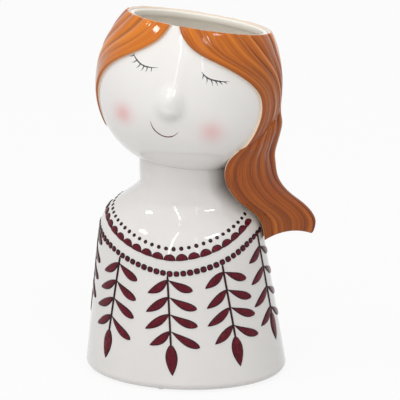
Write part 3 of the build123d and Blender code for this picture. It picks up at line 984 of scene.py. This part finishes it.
def turned(right, up, angle):
    return right * math.cos(angle) - up * math.sin(angle), right * math.sin(angle) + up * math.cos(angle)


def circle(steps):
    turns = 2 * math.pi * np.linspace(0, 1, steps, endpoint=False)
    return np.cos(turns), np.sin(turns)


def oval(steps, width, height, angle=0.0, power=2.0):
    cosine, sine = circle(steps)
    right = np.sign(cosine) * np.abs(cosine) ** (2 / power) * width / 2
    up = np.sign(sine) * np.abs(sine) ** (2 / power) * height / 2
    return turned(right, up, angle)


def scallop(steps, width, height, angle):
    cosine, sine = circle(steps)
    up = np.where(sine > 0, sine * height, sine * scallop_belly) - height * scallop_drop
    return turned(cosine * width / 2, up, angle)


def raised_piece(name, parts, node):
    piece(name, parts, [pattern_glaze], replaced=[node])


def build_rows():
    dots, scallops, beads = [], [], []
    for turn, height in row_places(dot_row, dot_pitch):
        size = dot_size * random.uniform(0.9, 1.08)
        outline = oval(18, size, size * random.uniform(0.9, 1.1))
        dots.append(domed(turn, height, outline, rings=4, edge_width=1.6, lift=dot_relief))
    for turn, height in row_places(scallop_row, scallop_pitch):
        tall = scallop_height * random.uniform(0.94, 1.06)
        outline = scallop(36, scallop_width, tall, row_slope(scallop_row, turn))
        scallops.append(domed(turn, height, outline, rings=6, edge_width=0.75))
    for turn, height in row_places(bead_line, bead_pitch):
        size = bead_size * random.uniform(0.94, 1.05)
        outline = oval(24, size, size * bead_flatness, row_slope(bead_line, turn), bead_power)
        beads.append(domed(turn, height, outline, rings=5, edge_width=1.1))
    raised_piece("neckline_dot_row", dots, "neckline_dots")
    raised_piece("scallop_row", scallops, "scallop_trim")
    raised_piece("bead_line", beads, "bead_row")


build_rows()

# Sprigs that hang from the bead line: a stem, four pairs of leaves and an end leaf
sprig_turns = (-160, -121.5, -83, -43.5, -2, 41, 77, 119.5, 158.5)
sprig_tops = (103.0, 106.1, 108.0, 90.8, 83.0, 90.1, 108.4, 106.3, 103.1)
sprig_lengths = (1.03, 1.03, 1.04, 1.06, 0.985, 1.045, 1.28, 1.03, 1.03)
sprig_leans = (-1.4, -3.6, -4.2, -6.2, 2.3, 4.8, 2.0, 3.6, 1.6)
first_leaves_below = (3.0, 3.0, 3.0, 3.0, 3.0, 5.0, 9.2, 3.0, 3.0)
stem_length = 49.5
stem_width = 1.5
stem_below_beads = 1.0
stem_into_end_leaf = 2.0
end_leaf_length = 22.5
end_leaf_width = 8.8
leaf_pitch = 12.3
leaf_width = 6.1
leaf_root = 0.3
left_tips = ((-15.8, -10.1), (-17.6, -10.8), (-19.2, -11.1), (-16.0, -11.0))
right_tips = ((18.0, -8.6), (19.8, -9.6), (20.2, -9.6), (20.6, -12.0))


def blade(turn, height, root, tip, width, form, bow=0.0, lean=0.0):
    """A raised leaf or stem from root to tip; form is its outline along its length, and bow bends it."""
    lengths, across = 26, 11
    edge_lift, edge_tone, edge_width = 0.1, 1.55, 0.6
    share = np.linspace(0, 1, lengths)
    root, tip = np.asarray(root, float), np.asarray(tip, float)
    along = tip - root
    normal = np.array([-along[1], along[0]]) / np.linalg.norm(along)
    middle = root + along * share[:, None] + normal * (bow * np.sin(math.pi * share))[:, None]
    half = (width / 2 * form(share))[:, None]
    spread = np.linspace(-1, 1, across)
    right = middle[:, :1] + normal[0] * half * spread
    up = middle[:, 1:] + normal[1] * half * spread
    right, up = turned(right, up, lean)
    fullness = np.sqrt(np.clip(1 - spread ** 4, 0, 1)) * np.clip(half / (width / 4), 0, 1)
    top = edge_lift + pattern_relief * fullness
    upper = on_bust(turn, height, right, up, top)
    lower = on_bust(turn, height, right, up, pattern_seat)
    inside = half * (1 - np.abs(spread))
    ends = np.minimum(share, 1 - share)[:, None] * np.linalg.norm(along)
    tone = np.clip(edge_tone - np.minimum(inside, ends) / edge_width, 0, 1)
    return {
        "points": np.concatenate([upper, lower[:, ::-1]], axis=1),
        "faces": grid_faces(lengths, 2 * across, around=True),
        "tone": np.concatenate([tone, np.ones_like(tone)], axis=1),
    }


def leaf_form(lag, power):
    """Outline of a leaf along its length; a lag over 1 puts its widest place nearer the tip."""
    def form(share):
        return np.sin(math.pi * share ** lag) ** power
    return form


def stem_form(share):
    end_slope, end_width = 25, 0.2
    return np.clip(np.minimum(share, 1 - share) * end_slope, end_width, 1.0)


pointed_form = leaf_form(0.9, 0.8)
club_form = leaf_form(1.6, 0.6)
end_form = leaf_form(0.82, 0.85)


def build_sprig(number):
    turn, top, size = sprig_turns[number], sprig_tops[number], sprig_lengths[number]
    lean = math.radians(sprig_leans[number])
    stem_start = (0, row_height(bead_line, turn) - stem_below_beads - top)
    end_root = -stem_length * size
    stem_end = (0, end_root - stem_into_end_leaf)
    parts = [blade(turn, top, stem_start, stem_end, stem_width, stem_form, lean=lean)]
    for pair, (left_tip, right_tip) in enumerate(zip(left_tips, right_tips)):
        below = -(first_leaves_below[number] + pair * leaf_pitch) * size
        for hand, (reach, drop), form in ((-1, left_tip, pointed_form), (1, right_tip, club_form)):
            tip = (reach * random.uniform(0.96, 1.0), below + drop * random.uniform(0.95, 1.05))
            bow = -hand * random.uniform(0.5, 1.3)
            parts.append(blade(turn, top, (hand * leaf_root, below), tip, leaf_width, form, bow, lean))
    end_tip = (0, end_root - end_leaf_length)
    parts.append(blade(turn, top, (0, end_root), end_tip, end_leaf_width, end_form, lean=lean))
    raised_piece(f"sprig_{number + 1}", parts, f"leaf_sprig_{number + 1}")


for sprig in range(len(sprig_turns)):
    build_sprig(sprig)

# The rubber pieces keep their solids
for name, material in (("foot_pads", pad_rubber), ("drain_plug", plug_rubber)):
    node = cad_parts[name]
    node.data.materials.clear()
    node.data.materials.append(material)

# Floor, light and camera, in metres
floor_size = 8.0
floor_grey = (0.6, 0.6, 0.6)
floor_white, floor_white_share = 1.05, 0.84
pure_white = (1.0, 1.0, 1.0)
light_target = Vector((0.0, 0.0, 0.14))
light_distance = 1.3
camera_target = Vector((0.0, 0.0, 0.130))


def seen_or_mirrored(graph):
    """1 for rays from the camera, and for those that glaze mirrors or glass lets through."""
    rays = graph.add("LightPath").outputs
    mirrored = graph.worked("MAXIMUM", rays["Is Camera Ray"], rays["Is Glossy Ray"])
    return graph.worked("MAXIMUM", mirrored, rays["Is Transmission Ray"])


def floor_material():
    """A pale matt floor that is almost pure white to the camera and in the glaze."""
    graph = Graph(bpy.data.materials.new("studio_floor"))
    graph.principled({"Base Color": floor_grey, "Roughness": 0.9})
    matt = graph.nodes["Principled BSDF"].outputs["BSDF"]
    white = graph.add("Emission", {"Strength": floor_white}).outputs["Emission"]
    share = graph.worked("MULTIPLY", seen_or_mirrored(graph), floor_white_share)
    graph.blend(share, matt, white, "Material Output")
    return graph.owner


bpy.ops.mesh.primitive_plane_add(size=floor_size, location=(0, 0, 0))
floor = bpy.context.object
floor.name = "studio_floor"
floor.data.materials.append(floor_material())


def toward(graph, direction, levels, span):
    """Light level that grows from the first to the second of levels as the sky turns to a direction."""
    sky = graph.add("TexCoord").outputs["Generated"]
    inputs = {0: sky, 1: unit(np.array(direction))}
    facing = graph.add("VectorMath", inputs, operation="DOT_PRODUCT")
    return graph.ranged(facing.outputs["Value"], *levels, *span)


def studio_world():
    """Soft light from the front, overhead and behind; the camera and the glaze see plain white."""
    world = bpy.data.worlds.new("studio")
    bpy.context.scene.world = world
    graph = Graph(world)
    front = toward(graph, (-0.28, -0.95, 0.04), levels=(0.2, 1.3), span=(-0.2, 1.0))
    top = toward(graph, (0.0, 0.0, 1.0), levels=(0.0, 0.9), span=(0.78, 1.0))
    behind = toward(graph, (0.3, 0.95, 0.0), levels=(0.0, 0.55), span=(0.1, 0.9))
    level = graph.worked("ADD", graph.worked("ADD", front, top), behind)
    light = graph.nodes["Background"]
    graph.feed(light, {"Color": pure_white, "Strength": level})
    white = graph.add("Background", {"Color": pure_white, "Strength": 1.0})
    backgrounds = (light.outputs["Background"], white.outputs["Background"])
    graph.blend(seen_or_mirrored(graph), *backgrounds, "World Output")


studio_world()


def softbox(name, azimuth, elevation, width, height, power):
    """A rectangular lamp round the object, azimuth in degrees from the front towards +X."""
    turn, rise = math.radians(azimuth), math.radians(elevation)
    way = Vector((math.sin(turn) * math.cos(rise), -math.cos(turn) * math.cos(rise), math.sin(rise)))
    data = bpy.data.lights.new(name, "AREA")
    data.shape = "RECTANGLE"
    data.size = width
    data.size_y = height
    data.energy = power
    lamp = bpy.data.objects.new(name, data)
    lamp.location = light_target + way * light_distance
    lamp.rotation_euler = (-way).to_track_quat("-Z", "Y").to_euler()
    bpy.context.collection.objects.link(lamp)


softbox("left_box", -60, 51, width=0.15, height=0.09, power=1.2)
softbox("right_box", 46, 50, width=0.3, height=0.09, power=1.5)
softbox("left_strip", -11, 36, width=0.03, height=1.5, power=1.5)
softbox("right_strip", 21, 36, width=0.02, height=1.0, power=0.3)

camera_data = bpy.data.cameras.new("camera")
camera_data.lens = 136.5
camera_data.sensor_width = 36.0
camera_data.shift_x = 0.0351
camera_data.shift_y = -0.0138
camera = bpy.data.objects.new("camera", camera_data)
camera.location = (0.1770, -1.0574, 0.3762)
camera.rotation_euler = (camera_target - camera.location).to_track_quat("-Z", "Y").to_euler()
bpy.context.collection.objects.link(camera)
bpy.context.scene.camera = camera
bpy.context.scene.view_settings.view_transform = "Standard"
